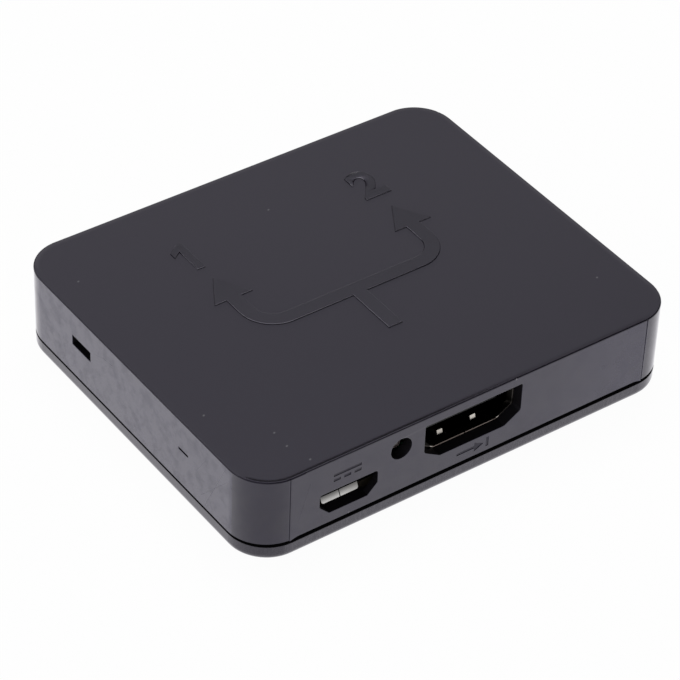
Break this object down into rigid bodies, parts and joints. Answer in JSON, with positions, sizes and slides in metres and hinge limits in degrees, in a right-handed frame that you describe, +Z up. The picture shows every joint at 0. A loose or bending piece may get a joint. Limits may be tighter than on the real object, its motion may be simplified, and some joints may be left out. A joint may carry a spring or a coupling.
{
  "type": "hdmi splitter",
  "caption": "Small flat black box with rounded corners that copies one video input to two outputs; sockets in front and rear walls.",
  "frame": {"origin": "centre of the underside of the bottom cover", "axes": "+X along the port walls to the right as seen from the input side, +Y from the input wall to the output wall, +Z up through the roof"},
  "size_m": [0.067, 0.056, 0.0132],
  "materials": {
    "case_black": "satin roof, glossy walls",
    "cover_black": "glossy",
    "board_laminate": "solder mask",
    "screw_steel": "zinc plated",
    "socket_steel": "nickel plated",
    "power_steel": "bright nickel plated",
    "socket_plastic": "matt black",
    "contact_gold": "gold flash",
    "lamp_resin": "milky with a faint red tint",
    "lead_tin": "tinned",
    "chip_resin": "moulded",
    "crystal_steel": "satin",
    "can_aluminium": "satin",
    "base_plastic": "moulded",
    "ferrite_grey": "matt",
    "ceramic_tan": "matt with tinned ends",
    "resistor_black": "glazed with tinned ends"
  },
  "bodies": {
    "root": {"top_shell": "case_black", "bottom_cover": "cover_black", "circuit_board": "board_laminate", "board_screws": "screw_steel", "input_shell": "socket_steel", "input_insulator": "socket_plastic", "input_contacts": "contact_gold", "output_1_shell": "socket_steel", "output_1_insulator": "socket_plastic", "output_1_contacts": "contact_gold", "output_2_shell": "socket_steel", "output_2_insulator": "socket_plastic", "output_2_contacts": "contact_gold", "power_shell": "power_steel", "power_insulator": "socket_plastic", "power_contacts": "contact_gold", "indicator_lamp": "lamp_resin", "lamp_leads": "lead_tin", "splitter_chip": "chip_resin", "splitter_chip_leads": "lead_tin", "memory_chip": "chip_resin", "memory_chip_leads": "lead_tin", "regulator": "chip_resin", "regulator_leads": "lead_tin", "surge_arrays": "chip_resin", "crystal_can": "crystal_steel", "crystal_base": "base_plastic", "capacitor_cans": "can_aluminium", "capacitor_bases": "base_plastic", "power_inductor": "ferrite_grey", "chip_capacitors": "ceramic_tan", "chip_resistors": "resistor_black"}
  },
  "joints": []
}
